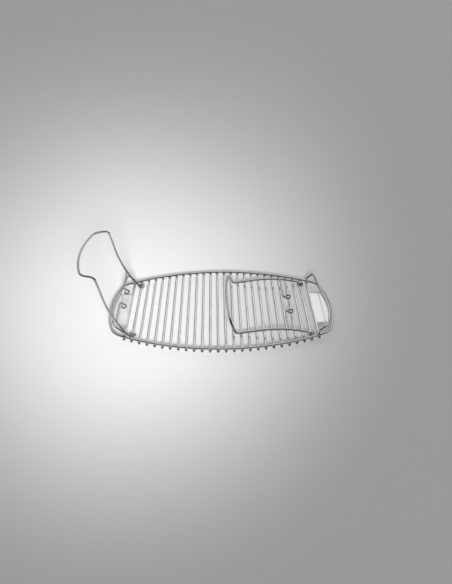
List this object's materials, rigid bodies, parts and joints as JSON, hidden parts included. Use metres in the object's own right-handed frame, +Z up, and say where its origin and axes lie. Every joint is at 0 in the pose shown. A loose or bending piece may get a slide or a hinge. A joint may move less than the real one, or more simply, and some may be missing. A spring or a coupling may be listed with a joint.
{
  "type": "grill basket",
  "caption": "Flat oval wire grid of welded cross rods with a folding wire handle at each end, for holding food over a grill.",
  "frame": {"origin": "middle of the oval grid, on the plane that the basket stands on", "axes": "+X along the length of the oval towards the folded handle, +Y along the cross rods to the back, +Z up"},
  "size_m": [0.5035, 0.2868, 0.1437],
  "materials": {
    "rim_wire": "polished stainless steel wire",
    "rod_wire": "polished stainless steel rod",
    "handle_wire": "polished stainless steel wire",
    "bow_wire": "polished stainless steel wire",
    "latch_wire": "polished stainless steel wire",
    "plate_sheet": "brushed stainless steel sheet"
  },
  "bodies": {
    "grid": {"outer_rim": "rim_wire", "cross_rod_01": "rod_wire", "cross_rod_02": "rod_wire", "cross_rod_03": "rod_wire", "cross_rod_04": "rod_wire", "cross_rod_05": "rod_wire", "cross_rod_06": "rod_wire", "cross_rod_07": "rod_wire", "cross_rod_08": "rod_wire", "cross_rod_09": "rod_wire", "cross_rod_10": "rod_wire", "cross_rod_11": "rod_wire", "cross_rod_12": "rod_wire", "cross_rod_13": "rod_wire", "cross_rod_14": "rod_wire", "cross_rod_15": "rod_wire", "cross_rod_16": "rod_wire", "cross_rod_17": "rod_wire", "cross_rod_18": "rod_wire", "cross_rod_19": "rod_wire", "cross_rod_20": "rod_wire", "cross_rod_21": "rod_wire", "cross_rod_22": "rod_wire", "cross_rod_23": "rod_wire", "cross_rod_24": "rod_wire", "cross_rod_25": "rod_wire", "cross_rod_26": "rod_wire", "end_bow_left": "bow_wire", "end_bow_right": "bow_wire", "end_plate_left": "plate_sheet", "end_plate_right": "plate_sheet"},
    "left_handle": {"handle_left": "handle_wire", "latch_arm_left_front": "latch_wire", "latch_arm_left_back": "latch_wire"},
    "right_handle": {"handle_right": "handle_wire", "latch_arm_right_front": "latch_wire", "latch_arm_right_back": "latch_wire"}
  },
  "joints": [
    {"name": "left_handle_fold", "type": "hinge", "parent": "grid", "child": "left_handle", "pos_m": [-0.1725, 0, 0.00735], "axis": [0, 1, 0], "range_deg": [0, 112.3]},
    {"name": "right_handle_fold", "type": "hinge", "parent": "grid", "child": "right_handle", "pos_m": [0.1725, 0, 0.00735], "axis": [0, 1, 0], "range_deg": [0, 112.3]}
  ]
}
